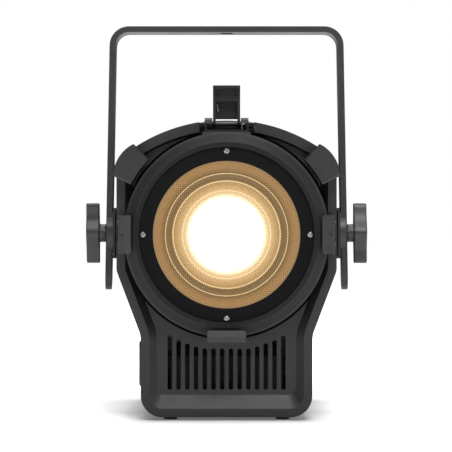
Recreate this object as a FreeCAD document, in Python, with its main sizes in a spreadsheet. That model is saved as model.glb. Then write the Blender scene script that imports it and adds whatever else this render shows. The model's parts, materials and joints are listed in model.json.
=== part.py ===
import FreeCAD, Part
import Sketcher
import math
import os

# Fresnel spotlight, in millimetres. +Z is up, the lens looks along -Y, and the origin is on
# the ground under the middle of the lamp. "Behind" distances are counted backwards from the
# plane of the frame clips' front edges.

SIZES = {
    # the whole lamp
    "depth": 300.0, "axis_height": 170.0, "foot_height": 3.0, "foot_radius": 6.3,
    # lens and front ring
    "lens_radius": 66.9, "lens_rim": 3.1, "lens_rim_thick": 4.0, "plate_band": 12.6,
    "plate_thick": 2.0, "ring_band": 13.6, "ring_wall": 3.5, "ring_face": 10.5,
    "ring_length": 18.0, "ring_gap": 3.1, "ring_bevel_width": 8.9, "ring_bevel_depth": 4.8,
    "web_front": 14.7, "web_thick": 3.8, "gasket_thick": 1.5,
    # accessory frame clips
    "clip_length": 35.0, "clip_reach": 11.2, "clip_sheet": 1.5, "slot_margin": 2.9,
    "boss_front": 13.5, "boss_back": 26.0,
    # housing outline
    "shoulder_margin": 7.6, "shoulder_drop": 33.0, "arch_margin": 11.9, "arch_radius": 154.0,
    "chin_half": 78.5, "chin_top": 78.0, "wall": 3.0, "seam": 0.8,
    "chin_corner": 20.0, "shoulder_corner": 30.0, "hip_corner": 15.0, "waist_corner": 25.0,
    "rim_front": 30.0, "rim_width": 7.9, "recess_depth": 6.0, "bevel_side": 6.7,
    "notch_depth": 12.0, "bevel_bottom": 12.2, "bevel_arch": 3.0, "front_length": 40.0, "cover_thick": 15.0,
    "cover_inset": 12.0, "cover_arch_inset": 25.0,
    # vents
    "vent_pitch": 8.0, "vent_width": 4.2, "vent_foot": 24.4, "vent_clearance": 12.7,
    # lens barrel and optical engine
    "barrel_radius": 84.0, "barrel_wall": 2.0, "barrel_end": 60.0, "rod_radius": 4.0,
    "rod_half": 65.0, "rod_rise": 30.0, "screw_rise": 62.0, "engine_front": 102.0,
    "travel": 15.0, "sink_half": 50.0, "sink_depth": 40.0, "fan_depth": 20.0,
    "motor_half": 21.0, "motor_length": 34.0, "motor_back": 24.0,
    # tilt pivot, yoke and knobs
    "pivot_back": 130.0, "pivot_rise": 1.5, "stud_radius": 5.0, "block_half": 24.0,
    "block_reach": 7.2, "washer_radius": 21.0, "washer_floor": 1.4, "washer_thick": 5.4,
    "strap_width": 30.0, "strap_thick": 5.5, "strap_splay": 3.7, "strap_tail": 54.2,
    "yoke_height": 369.0, "yoke_bend": 18.5, "bolt_radius": 6.5,
    "neck_radius": 8.65, "neck_length": 6.2, "wing_half": 29.0, "wing_width": 12.7,
    # frame latch
    "latch_half": 20.0, "latch_sheet": 2.2, "arm_half": 12.4, "arm_wall": 2.5,
    "arm_depth": 12.0, "arm_length": 33.8, "lip_reach": 8.0, "pin_radius": 1.87,
    "pin_back": 31.0, "pin_rise": 8.7, "top_boss_rise": 0.3,
    # control pod and connector panel
    "pod_front": 85.0, "pod_length": 140.0, "pod_low": 27.0, "pod_high": 70.0,
    "pod_proud": 4.6, "pod_wall": 2.0, "button_radius": 4.4,
    "socket_radius": 9.6, "socket_depth": 14.0, "flange_half_width": 13.0,
    "flange_half_height": 15.5, "socket_height": 49.0,
    # fits
    "running": 0.05, "loose": 0.3, "thread_radius": 1.5,
}


class Size:
    """A number that carries its value and the sheet formula that it comes from."""

    def __init__(self, value, formula):
        self.value = value
        self.formula = formula

    def __add__(self, other):
        other = as_size(other)
        return Size(self.value + other.value, f"({self.formula} + {other.formula})")

    def __sub__(self, other):
        other = as_size(other)
        return Size(self.value - other.value, f"({self.formula} - {other.formula})")

    def __mul__(self, other):
        other = as_size(other)
        return Size(self.value * other.value, f"({self.formula} * {other.formula})")

    def __truediv__(self, other):
        other = as_size(other)
        return Size(self.value / other.value, f"({self.formula} / {other.formula})")

    def __neg__(self):
        return self * -1

    def __radd__(self, other):
        return as_size(other) + self

    def __rsub__(self, other):
        return as_size(other) - self

    def __rmul__(self, other):
        return as_size(other) * self


def as_size(number):
    """Return the number as a Size."""
    return number if isinstance(number, Size) else Size(float(number), f"({float(number)})")


def root(size):
    """Return the square root of a Size."""
    return Size(math.sqrt(size.value), f"sqrt({size.formula})")


def turned(radius, degrees):
    """Return the point at a radius and an angle, counted from +X."""
    angle = math.radians(degrees)
    return radius * math.cos(angle), radius * math.sin(angle)


doc = FreeCAD.newDocument("fresnel_spotlight")
sheet = doc.addObject("Spreadsheet::Sheet", "Dims")
for row, (name, number) in enumerate(SIZES.items(), start=1):
    sheet.set(f"A{row}", name)
    sheet.set(f"B{row}", str(number))
    sheet.setAlias(f"B{row}", name)
doc.recompute()


class Sheet:
    """The driving sizes, read by name."""

    def __getattr__(self, name):
        return Size(SIZES[name], f"Dims.{name}")


D = Sheet()
NORMALS = {"front": ("XZ_Plane", -1), "top": ("XY_Plane", 1), "side": ("YZ_Plane", 1)}


def behind(distance):
    """Return the Y of a plane this far behind the clips' front edges."""
    return distance - D.depth / 2


# Sizes that follow from the driving ones.
ring_inner = D.lens_radius + D.plate_band
ring_outer = ring_inner + D.ring_band
lens_edge = D.lens_radius + D.lens_rim
web_back = D.web_front + D.web_thick
ring_back = D.ring_face + D.ring_length
lens_front_rim = D.web_front + D.gasket_thick
lens_back = lens_front_rim + D.lens_rim_thick
slot_half = ring_outer + D.slot_margin
clip_outer = slot_half + D.clip_sheet
shoulder_half = ring_outer + D.shoulder_margin
shoulder_low = D.axis_height - D.shoulder_drop
arch_top = D.axis_height + ring_outer + D.arch_margin
arch_centre = arch_top - D.arch_radius
recess_back = D.rim_front + D.recess_depth
front_back = D.rim_front + D.front_length
cover_front = D.depth - D.cover_thick
pivot_height = D.axis_height + D.pivot_rise
block_face = shoulder_half + D.block_reach
strap_inner = block_face + D.loose + D.washer_floor
strap_outer = strap_inner + D.strap_thick
neck_face = strap_outer + 2 * D.loose
knob_inner = neck_face + D.neck_length
knob_outer = knob_inner + D.wing_width
pin_height = ring_outer + D.pin_rise
boss_top = ring_outer + D.top_boss_rise
rear_bracket = D.depth - D.motor_back - D.motor_length - 4
sink_front = D.engine_front + 5
fan_front = sink_front + 6 + D.sink_depth
main_half = D.chin_half - D.seam
pod_inner = main_half
pod_outer = main_half + D.pod_proud


class Piece:
    """One sub-part: a PartDesign body and the features added to it in turn."""

    def __init__(self, label, z=0, y=0, turn=0):
        self.body = doc.addObject("PartDesign::Body", label)
        self.body.Label = label
        turn_about_y = FreeCAD.Rotation(FreeCAD.Vector(0, 1, 0), turn)
        self.body.Placement = FreeCAD.Placement(FreeCAD.Vector(), turn_about_y)
        self.body.setExpression("Placement.Base.z", as_size(z).formula)
        self.body.setExpression("Placement.Base.y", as_size(y).formula)
        self.count = 0

    def origin(self, role):
        """Return one of the body's own origin planes or axes."""
        return [part for part in self.body.Origin.OriginFeatures if part.Role == role][0]

    def sketch(self, plane, at, loops):
        """Draw closed loops on a plane at the coordinate `at` along its axis."""
        self.count += 1
        drawing = self.body.newObject("Sketcher::SketchObject", f"{self.body.Name}_s{self.count}")
        role, sign = NORMALS[plane]
        drawing.AttachmentSupport = (self.origin(role), "")
        drawing.MapMode = "FlatFace"
        drawing.setExpression("AttachmentOffset.Base.z", (as_size(at) * sign).formula)
        for loop in loops:
            loop(drawing)
        return drawing

    def feature(self, kind, drawing):
        """Add a PartDesign feature made from a sketch."""
        self.count += 1
        made = self.body.newObject(f"PartDesign::{kind}", f"{self.body.Name}_f{self.count}")
        made.Profile = drawing
        return made

    def pad(self, plane, at, length, *loops):
        """Add material from `at`, towards the plus side of the plane's axis."""
        made = self.feature("Pad", self.sketch(plane, at, loops))
        made.setExpression("Length", as_size(length).formula)
        made.Reversed = plane == "front"
        return self

    def cut(self, plane, at, length, *loops):
        """Remove material from `at`, towards the plus side of the plane's axis."""
        doc.recompute()
        before = self.body.Shape.Volume
        made = self.feature("Pocket", self.sketch(plane, at, loops))
        made.setExpression("Length", as_size(length).formula)
        made.Reversed = plane != "front"
        doc.recompute()
        if self.body.Shape.Volume > before - 0.01:
            raise ValueError(f"{self.body.Label}: a pocket cuts nothing")
        return self

    def turn(self, *loops):
        """Revolve loops of (y, radius) points about the body's own Y axis."""
        made = self.feature("Revolution", self.sketch("side", 0, loops))
        made.ReferenceAxis = (self.origin("Y_Axis"), [""])
        made.Angle = 360
        return self

    def loft(self, kind, first, second):
        """Join two (at, loop) sections on front planes with ruled faces."""
        start = self.sketch("front", first[0], [first[1]])
        end = self.sketch("front", second[0], [second[1]])
        made = self.feature(kind, start)
        made.Sections = [end]
        made.Ruled = True
        return self

    def edges(self, wanted):
        """Return the names of straight edges that a test of (direction, middle) accepts."""
        doc.recompute()
        names = []
        for number, edge in enumerate(self.body.Tip.Shape.Edges, start=1):
            if not isinstance(edge.Curve, Part.Line):
                continue
            first, last = edge.Vertexes[0].Point, edge.Vertexes[-1].Point
            if wanted((last - first).normalize(), (first + last) * 0.5):
                names.append(f"Edge{number}")
        if not names:
            raise ValueError(f"{self.body.Label}: no edge to round")
        return names

    def round(self, radius, wanted, kind="Fillet"):
        """Fillet or chamfer the wanted straight edges."""
        names = self.edges(wanted)
        base = self.body.Tip
        self.count += 1
        made = self.body.newObject(f"PartDesign::{kind}", f"{self.body.Name}_f{self.count}")
        made.Base = (base, names)
        made.setExpression("Radius" if kind == "Fillet" else "Size", as_size(radius).formula)
        return self

    def repeat_round(self, count):
        """Repeat the last feature round the body's own Y axis."""
        pattern = self.body.newObject("PartDesign::PolarPattern", f"{self.body.Name}_round")
        pattern.Originals = [self.body.Tip]
        pattern.Axis = (self.origin("Y_Axis"), [""])
        pattern.Angle = 360
        pattern.Occurrences = count
        self.body.Tip = pattern
        return self

    def repeat_along_x(self, length, count):
        """Repeat the last feature along X, over a length."""
        pattern = self.body.newObject("PartDesign::LinearPattern", f"{self.body.Name}_row")
        pattern.Originals = [self.body.Tip]
        pattern.Direction = (self.origin("X_Axis"), [""])
        pattern.setExpression("Length", as_size(length).formula)
        pattern.Occurrences = count
        self.body.Tip = pattern
        return self


def fix_point(drawing, index, end, across, up):
    """Hold one end of an edge at a place given by two sizes."""
    for kind, size in (("DistanceX", as_size(across)), ("DistanceY", as_size(up))):
        number = drawing.addConstraint(Sketcher.Constraint(kind, -1, 1, index, end, size.value))
        drawing.setExpression(f"Constraints[{number}]", size.formula)


def circle(across, up, radius):
    """Return a loop: a circle."""
    across, up, radius = as_size(across), as_size(up), as_size(radius)

    def draw(drawing):
        centre = FreeCAD.Vector(across.value, up.value, 0)
        index = drawing.addGeometry(Part.Circle(centre, FreeCAD.Vector(0, 0, 1), radius.value))
        number = drawing.addConstraint(Sketcher.Constraint("Radius", index, radius.value))
        drawing.setExpression(f"Constraints[{number}]", radius.formula)
        fix_point(drawing, index, 3, across, up)
    return draw


def polygon(points, arcs=None):
    """Return a loop of straight edges; arcs maps an edge to its radius, minus if it turns right."""
    points = [(as_size(across), as_size(up)) for across, up in points]
    arcs = {edge: as_size(radius) for edge, radius in (arcs or {}).items()}

    def draw(drawing):
        starts, stops, last = [], [], len(points)
        for edge, (start, stop) in enumerate(zip(points, points[1:] + points[:1])):
            first = FreeCAD.Vector(start[0].value, start[1].value, 0)
            second = FreeCAD.Vector(stop[0].value, stop[1].value, 0)
            if edge not in arcs:
                index = drawing.addGeometry(Part.LineSegment(first, second))
                starts.append((index, 1))
                stops.append((index, 2))
                continue
            radius = arcs[edge]
            chord = second - first
            left = FreeCAD.Vector(-chord.y, chord.x, 0).normalize()
            rise = math.sqrt(radius.value ** 2 - (chord.Length / 2) ** 2)
            centre = (first + second) * 0.5 + left * math.copysign(rise, radius.value)
            ends = (first, second) if radius.value > 0 else (second, first)
            angles = [math.atan2(end.y - centre.y, end.x - centre.x) for end in ends]
            round_edge = Part.Circle(centre, FreeCAD.Vector(0, 0, 1), abs(radius.value))
            index = drawing.addGeometry(Part.ArcOfCircle(round_edge, *angles))
            number = drawing.addConstraint(Sketcher.Constraint("Radius", index, abs(radius.value)))
            drawing.setExpression(f"Constraints[{number}]", f"abs({radius.formula})")
            starts.append((index, 1 if radius.value > 0 else 2))
            stops.append((index, 2 if radius.value > 0 else 1))
        for edge in range(last):
            following = starts[(edge + 1) % last]
            drawing.addConstraint(Sketcher.Constraint("Coincident", *stops[edge], *following))
            fix_point(drawing, *starts[edge], *points[edge])
    return draw


def box(left, low, right, high):
    """Return a loop: a rectangle."""
    return polygon([(left, low), (right, low), (right, high), (left, high)])


def soft_box(left, low, right, high, radius):
    """Return a loop: a rectangle with round corners."""
    left, low, right, high = (as_size(edge) for edge in (left, low, right, high))
    points = [(left + radius, low), (right - radius, low), (right, low + radius),
              (right, high - radius), (right - radius, high), (left + radius, high),
              (left, high - radius), (left, low + radius)]
    return polygon(points, {1: radius, 3: radius, 5: radius, 7: radius})


def slot(across, low, high, width):
    """Return a loop: an upright slot with almost half-round ends."""
    half = as_size(width) / 2
    bulge = half * 1.02
    points = [(across - half, low + half), (across + half, low + half),
              (across + half, high - half), (across - half, high - half)]
    return polygon(points, {0: bulge, 2: bulge})


def cross(across, up, arm, half):
    """Return a loop: a plus sign."""
    corners = [(half, half), (half, arm), (-half, arm), (-half, half), (-arm, half), (-arm, -half),
               (-half, -half), (-half, -arm), (half, -arm), (half, -half), (arm, -half), (arm, half)]
    return polygon([(across + right, up + above) for right, above in corners])


def outline_points(side, bottom, arch):
    """Return the housing's corners, moved inwards by a side, a bottom and an arch inset."""
    run = shoulder_half - D.chin_half
    climb = shoulder_low - D.chin_top
    lift = side * ((root(run * run + climb * climb) - climb) / run)
    chin, wide = D.chin_half - side, shoulder_half - side
    radius = D.arch_radius - arch
    spring_line = arch_centre + root(radius * radius - wide * wide)
    low = D.foot_height + bottom
    return chin, wide, low, D.chin_top + lift, shoulder_low + lift, spring_line, radius


def outline(side, bottom, arch, corner, shoulder):
    """Return the housing's outline as a loop, with every corner round."""
    side = as_size(side)
    chin, wide, low, waist, hip, spring_line, radius = outline_points(side, bottom, arch)
    run, climb = shoulder_half - D.chin_half, shoulder_low - D.chin_top
    length = root(run * run + climb * climb)
    half_turn, lean, rise = (length - climb) / run, run / length, climb / length
    waist_round, hip_round = D.waist_corner + side, D.hip_corner - side
    if hip_round.value < 1:
        hip_round = as_size(1)
    inward, outward = waist_round * half_turn, hip_round * half_turn
    drop, reach = shoulder * 0.487, shoulder * 0.43
    inboard = wide - reach
    crown = arch_centre + root(radius * radius - inboard * inboard)
    right = [(chin - corner, low), (chin, low + corner), (chin, waist - inward),
             (chin + inward * lean, waist + inward * rise),
             (wide - outward * lean, hip - outward * rise), (wide, hip + outward),
             (wide, spring_line - drop), (inboard, crown)]
    left = [(-across, up) for across, up in reversed(right)]
    return polygon(right + left, {0: corner, 2: -waist_round, 4: hip_round, 6: shoulder, 7: radius,
                                  8: shoulder, 10: hip_round, 12: -waist_round, 14: corner})


# --- front ring, lens and frame clips ---------------------------------------------------------

def front_ring():
    """Ring that carries the lens plate, the clips and the latch bracket."""
    ring = Piece("front_ring", z=D.axis_height)
    inner_wall = ring_outer - D.ring_wall
    ring.turn(polygon([
        (behind(D.ring_face), ring_inner), (behind(D.ring_face), ring_outer - D.ring_bevel_width),
        (behind(D.ring_face + D.ring_bevel_depth), ring_outer), (behind(ring_back), ring_outer),
        (behind(ring_back), inner_wall), (behind(web_back), inner_wall),
        (behind(web_back), lens_edge + 0.7), (behind(D.web_front), lens_edge + 0.7),
        (behind(D.web_front), ring_inner)]))
    half, root_of_boss = D.clip_length / 2, ring_outer - 2.6
    bosses = [box(-slot_half, -half, -root_of_boss, half), box(root_of_boss, -half, slot_half, half),
              box(-half, -slot_half, half, -root_of_boss)]
    ring.pad("front", behind(D.boss_front), D.boss_back - D.boss_front, *bosses)
    bevel_end = D.ring_face + D.ring_bevel_depth
    ring.pad("front", behind(bevel_end), D.boss_back - bevel_end,
             box(-D.latch_half - 2, ring_outer - 3.3, D.latch_half + 2, boss_top))
    screw_y = behind(20)
    for start in (-slot_half, slot_half - 6):
        ring.cut("side", start, 6, circle(screw_y, 10, D.thread_radius),
                 circle(screw_y, -10, D.thread_radius))
    ring.cut("top", -slot_half, 6, circle(10, screw_y, D.thread_radius),
             circle(-10, screw_y, D.thread_radius))
    holes = [circle(*place, D.thread_radius) for place in plate_screw_places()]
    ring.cut("front", behind(D.web_front), D.web_thick, *holes)
    return ring


def plate_screw_places():
    """Return the four screw places of the lens plate, from the lens axis."""
    radius = ring_inner - 3.5
    return [turned(radius, quarter * 90) for quarter in range(4)]


def lens_plate():
    """Flat ring that holds the lens in the front ring."""
    plate = Piece("lens_plate", z=D.axis_height)
    holes = [circle(*place, D.thread_radius + 0.2) for place in plate_screw_places()]
    plate.pad("front", behind(D.web_front - D.plate_thick), D.plate_thick,
              circle(0, 0, ring_inner - 0.1), circle(0, 0, D.lens_radius), *holes)
    return plate


def lens_screws():
    """Four pan-head screws with crossed recesses."""
    screws = Piece("lens_screws", z=D.axis_height)
    head, seat = 1.6, D.web_front - D.plate_thick
    places = plate_screw_places()
    screws.pad("front", behind(seat - head), head, *[circle(*place, 2.9) for place in places])
    shank = D.thread_radius - D.running
    screws.pad("front", behind(seat), D.plate_thick + D.web_thick,
               *[circle(*place, shank) for place in places])
    screws.cut("front", behind(seat - head), 1.0, *[cross(*place, 1.7, 0.4) for place in places])
    return screws


def fresnel_lens():
    """Stepped lens: a dome in the middle and three prism rings round it, flat at the back."""
    lens = Piece("fresnel_lens", z=D.axis_height)
    reach = D.lens_radius
    dome, first, second, third = reach * 0.594, reach * 0.723, reach * 0.828, reach - 1.0
    trough, crest = lens_front_rim + 1.6, lens_front_rim - 1.0
    lens.turn(polygon([
        (behind(lens_back), 0), (behind(lens_front_rim - 3), 0), (behind(trough), dome),
        (behind(crest), dome), (behind(trough), first), (behind(crest), first),
        (behind(trough), second), (behind(crest), second), (behind(lens_front_rim), third),
        (behind(lens_front_rim), lens_edge), (behind(lens_back), lens_edge)], {1: 178.0}))
    return lens


def lens_gasket():
    """Rubber ring between the front ring's web and the lens."""
    gasket = Piece("lens_gasket", z=D.axis_height)
    gasket.pad("front", behind(D.web_front), D.gasket_thick, circle(0, 0, lens_edge),
               circle(0, 0, D.lens_radius))
    return gasket


def lens_barrel():
    """Tube between the front ring and the housing, with a seat for the back of the lens."""
    barrel = Piece("lens_barrel", z=D.axis_height)
    inside, panel = D.barrel_radius - D.barrel_wall, recess_back + D.wall
    flange = shoulder_half - D.wall - 0.2
    barrel.turn(polygon([
        (behind(web_back), inside), (behind(web_back), D.barrel_radius),
        (behind(panel), D.barrel_radius), (behind(panel), flange),
        (behind(panel + 2.5), flange), (behind(panel + 2.5), D.barrel_radius),
        (behind(D.barrel_end), D.barrel_radius), (behind(D.barrel_end), inside),
        (behind(lens_back + 2), inside), (behind(lens_back + 2), lens_edge - 5),
        (behind(lens_back), lens_edge - 5), (behind(lens_back), inside)]))
    return barrel


def frame_clip(label, turn):
    """Sheet clip that holds an accessory frame in front of the ring; drawn at the bottom."""
    clip = Piece(label, z=D.axis_height, turn=turn)
    sheet_thick, bend = D.clip_sheet, 0.9
    crease, tip = clip_outer - 5.5, clip_outer - D.clip_reach
    clip.pad("side", -D.clip_length / 2, D.clip_length, polygon([
        (behind(D.boss_back), -clip_outer), (behind(bend), -clip_outer), (behind(bend), -crease),
        (behind(0), -tip), (behind(sheet_thick), -tip), (behind(bend + sheet_thick), -crease),
        (behind(bend + sheet_thick), -slot_half), (behind(D.boss_back), -slot_half)]))
    clip.round(1.3, lambda way, mid: abs(way.x) > 0.99 and abs(mid.z + clip_outer.value) < 0.1
               and mid.y < behind(2).value)
    clip.round(2, lambda way, mid: abs(way.x) < 0.01 and abs(mid.z + tip.value) < 0.1)
    clip.cut("top", -clip_outer - 1, 3, circle(10, behind(20), D.thread_radius + 0.2),
             circle(-10, behind(20), D.thread_radius + 0.2))
    clip.cut("front", behind(-1), 5, circle(0, -clip_outer + 3.6, 0.8))
    return clip


def clip_screws():
    """Six screws, two in each clip, driven towards the lens axis."""
    screws = Piece("clip_screws", z=D.axis_height)
    head, shank, length, seat = 1.6, D.thread_radius - D.running, 6.5, clip_outer
    sides = [(behind(20), 10), (behind(20), -10)]
    for start, inward in ((seat, seat - length), (-seat - head, -seat)):
        screws.pad("side", start, head, *[circle(*place, 2.75) for place in sides])
        screws.pad("side", inward, length, *[circle(*place, shank) for place in sides])
    below = [(10, behind(20)), (-10, behind(20))]
    screws.pad("top", -seat - head, head, *[circle(*place, 2.75) for place in below])
    screws.pad("top", -seat, length, *[circle(*place, shank) for place in below])
    return screws


def shoulder_pad(label, side):
    """Guard on the front of one shoulder, concentric with the ring on its inner edge."""
    pad = Piece(label, z=D.axis_height)
    inner = ring_outer + 5.2
    low_in, high_in = turned(inner, 27.6), turned(inner, 44.0)
    low_out, high_out = turned(inner + 17.4, 27.3), turned(inner + 19.6, 44.3)
    points = [low_in, low_out, high_out, high_in]
    pad.pad("front", behind(14), D.rim_front - 14, polygon(
        [(across * side, up) for across, up in points],
        {1: 33.0 * side, 3: -inner * side}))
    pad.round(1.6, lambda way, mid: abs(way.y) < 0.01 and abs(mid.y - behind(14).value) < 0.1,
              "Chamfer")
    return pad


# --- housing ----------------------------------------------------------------------------------

def front_housing():
    """Front shell: rim, bevelled recess, panel with the barrel's hole and the intake slots."""
    shell = Piece("front_housing")
    shell.pad("front", behind(D.rim_front), D.front_length,
              outline(0, 0, 0, D.chin_corner, D.shoulder_corner))
    rim, corner, shoulder = D.rim_width, D.chin_corner - 8, D.shoulder_corner - D.rim_width
    shell.loft("SubtractiveLoft",
               (behind(D.rim_front), outline(rim, rim, rim + 1.2, corner, shoulder)),
               (behind(recess_back), outline(rim + D.bevel_side, rim + D.bevel_bottom,
                                             rim + D.bevel_arch, corner - 4, shoulder - 4)))
    panel_back, inside = recess_back + D.wall, front_back - recess_back - D.wall
    shell.cut("front", behind(panel_back), inside,
              outline(D.wall, D.wall, D.wall, D.chin_corner - D.wall, D.shoulder_corner - D.wall))
    shell.cut("front", behind(recess_back), D.wall + 1,
              circle(0, D.axis_height, ring_outer + D.ring_gap))
    shell.cut("front", behind(recess_back), D.wall + 1, *intake_slots())
    notch = D.latch_half + 5
    shell.cut("front", behind(D.rim_front), D.notch_depth,
              box(-notch, arch_top - 13, notch, arch_top + 3))
    return shell


def intake_slots():
    """Fourteen slots whose tops follow the ring and whose feet are in line."""
    reach = ring_outer + D.vent_clearance
    loops = []
    for number in range(14):
        across = D.vent_pitch * (number - 6.5)
        top = D.axis_height - root(reach * reach - across * across)
        low_top = D.axis_height - reach + 1.9
        tall = top if abs(number - 6.5) > 2 else low_top
        loops.append(slot(across, D.foot_height + D.vent_foot, tall, D.vent_width))
    return loops


def main_housing():
    """Main shell, open at both ends, with the pivots' holes and the side louvres."""
    shell = Piece("main_housing")
    length = cover_front - front_back
    seam, inside = D.seam, D.seam + D.wall
    shell.pad("front", behind(front_back), length,
              outline(seam, 0, seam, D.chin_corner, D.shoulder_corner - seam))
    shell.cut("front", behind(front_back), length,
              outline(inside, D.wall, inside, D.chin_corner - D.wall, D.shoulder_corner - inside))
    pivot = circle(behind(D.pivot_back), pivot_height, 8 + D.running)
    louvres = [slot(behind(D.pivot_back + 45 + 9 * number), D.axis_height - 24,
                    D.axis_height + 36, 4) for number in range(7)]
    for start in (-shoulder_half, shoulder_half - 6):
        shell.cut("side", start, 6, pivot, *louvres)
    pod = [behind(D.pod_front + 7), D.pod_low + 6, behind(D.pod_front + D.pod_length - 5),
           D.pod_high - 6]
    shell.cut("side", -main_half - 1, 6, box(*pod))
    return shell


def rear_cover():
    """Tapered rear cover with an exhaust grille and the bay of the connector panel."""
    cover = Piece("rear_cover")
    seam, inset = D.seam, D.cover_inset
    cover.loft("AdditiveLoft",
               (behind(cover_front), outline(seam, 0, seam, D.chin_corner, D.shoulder_corner)),
               (behind(D.depth), outline(inset, inset, D.cover_arch_inset, D.chin_corner - 8, 20)))
    pocket = inset + D.wall
    cover.cut("front", behind(cover_front), D.cover_thick - D.wall,
              outline(pocket, pocket, D.cover_arch_inset + D.wall, D.chin_corner - 12, 16))
    grille = []
    for number in range(11):
        across = 8.0 * (number - 5)
        half = math.sqrt(46.0 ** 2 - across ** 2)
        grille.append(slot(across, D.axis_height - half, D.axis_height + half, 4))
    cover.cut("front", behind(D.depth - D.wall), D.wall, *grille, soft_box(-58, 22, 58, 81, 3))
    cover.cut("front", behind(D.depth - D.wall), D.wall,
              *[circle(*place, D.thread_radius + 0.2) for place in cover_screw_places()])
    return cover


def cover_screw_places():
    """Return the four places where the rear cover is screwed on."""
    wide = shoulder_half - D.cover_inset - 10
    narrow = D.chin_half - D.cover_inset - 4
    low, high = D.foot_height + 84, D.axis_height + 30
    return [(-narrow, low), (narrow, low), (-wide, high), (wide, high)]


def cover_screws():
    """Four screws that hold the rear cover."""
    screws = Piece("cover_screws")
    places = cover_screw_places()
    screws.pad("front", behind(D.depth - 1.6), 1.6, *[circle(*place, 2.9) for place in places])
    screws.pad("front", behind(D.depth - 12), 10.4,
               *[circle(*place, D.thread_radius - D.running) for place in places])
    screws.cut("front", behind(D.depth - 1), 1, *[cross(*place, 1.7, 0.4) for place in places])
    return screws


def counterbore_cover(cover):
    """Sink the cover screws' heads into the rear cover."""
    cover.cut("front", behind(D.depth - 1.6), 1.6,
              *[circle(*place, 3.1) for place in cover_screw_places()])


def feet():
    """Four rubber feet under the housing."""
    pads = Piece("feet")
    across = D.chin_half - 26.8
    loops = [circle(side * across, behind(back), D.foot_radius)
             for side in (-1, 1) for back in (50, cover_front - 25)]
    pads.pad("top", 0, D.foot_height, *loops)
    return pads


def side_block(label, side):
    """Pivot block on one side: a plate on two flanges, open at the front, solid at the axle."""
    block = Piece(label, z=pivot_height, y=behind(D.pivot_back))
    half, reach = D.block_half, D.block_reach + D.seam
    near = shoulder_half - D.seam
    start = near if side > 0 else -near - reach
    block.pad("side", start, reach, box(-half, -half, half, half))
    hollow = near if side > 0 else -near - reach + 2
    block.cut("side", hollow, reach - 2, box(-half, -half + 2.5, -half + 12, half - 2.5))
    block.cut("side", start, reach, circle(0, 0, 8 + D.running))
    return block


def threaded_inserts():
    """Brass inserts that take the knobs' studs."""
    inserts = Piece("threaded_inserts", z=pivot_height, y=behind(D.pivot_back))
    length = 20.0
    ring = [circle(0, 0, 8), circle(0, 0, D.stud_radius + D.running)]
    inserts.pad("side", block_face - length, length, *ring)
    inserts.pad("side", -block_face, length, *ring)
    return inserts


def safety_eye():
    """Plate eye on top of the housing for a safety bond."""
    eye = Piece("safety_eye")
    half, radius = 10.0, D.arch_radius - D.seam
    seat = arch_centre + root(radius * radius - half * half)
    eye.pad("front", behind(cover_front - 17), 4, polygon(
        [(-half, seat), (half, seat), (half, seat + 5), (-half, seat + 5)],
        {0: -radius, 2: half * 1.02}), circle(0, seat + 6, 4.5))
    return eye


# --- frame latch --------------------------------------------------------------------------------

def latch_bracket():
    """Bracket on the ring's top boss, with an ear at each end of the pin."""
    bracket = Piece("latch_bracket", z=D.axis_height)
    half, thick = D.latch_half, 1.8
    ear_inner = half - D.latch_sheet
    bracket.pad("front", behind(16), 22.6, box(-half, boss_top, half, boss_top + thick))
    back, front = behind(D.pin_back + 6), behind(D.pin_back - 6)
    for start in (-half, ear_inner):
        bracket.pad("side", start, D.latch_sheet, polygon(
            [(front, boss_top), (back, boss_top), (back, pin_height), (front, pin_height)],
            {2: 6.1}))
    hood = half - D.arm_half - 0.6
    for start in (-half, half - hood):
        bracket.pad("side", start, hood, polygon(
            [(front, pin_height), (front + 1, pin_height), (back - 1, pin_height),
             (back, pin_height)], {1: -5.1, 3: 6.1}))
    bracket.pad("front", behind(37.2), 1.4, box(-half, boss_top, half, boss_top + 6.5))
    bracket.cut("side", -half - 1, 2 * half + 2,
                circle(behind(D.pin_back), pin_height, D.pin_radius + 0.02))
    return bracket


def latch_pin():
    """Pin that the latch arm folds on."""
    pin = Piece("latch_pin", z=D.axis_height)
    reach = D.latch_half + 1.2
    pin.pad("side", -reach, 2 * reach, circle(behind(D.pin_back), pin_height, D.pin_radius))
    return pin


def latch_spring():
    """Close-wound torsion spring round the pin, with one leg down to the bracket."""
    spring = Piece("latch_spring", z=pin_height + D.axis_height, y=behind(D.pin_back))
    wire, coil = 0.55, 3.2
    start = D.arm_half + 1.0
    coils = [circle(start + 1.0 * turn, coil, wire) for turn in range(4)]
    for loop in coils:
        made = spring.feature("Revolution", spring.sketch("top", 0, [loop]))
        made.ReferenceAxis = (spring.origin("X_Axis"), [""])
        made.Angle = 360
    leg = D.pin_rise - D.top_boss_rise - 1.8
    spring.pad("top", -leg, leg, circle(start + 1.0, -coil, wire))
    return spring


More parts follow.
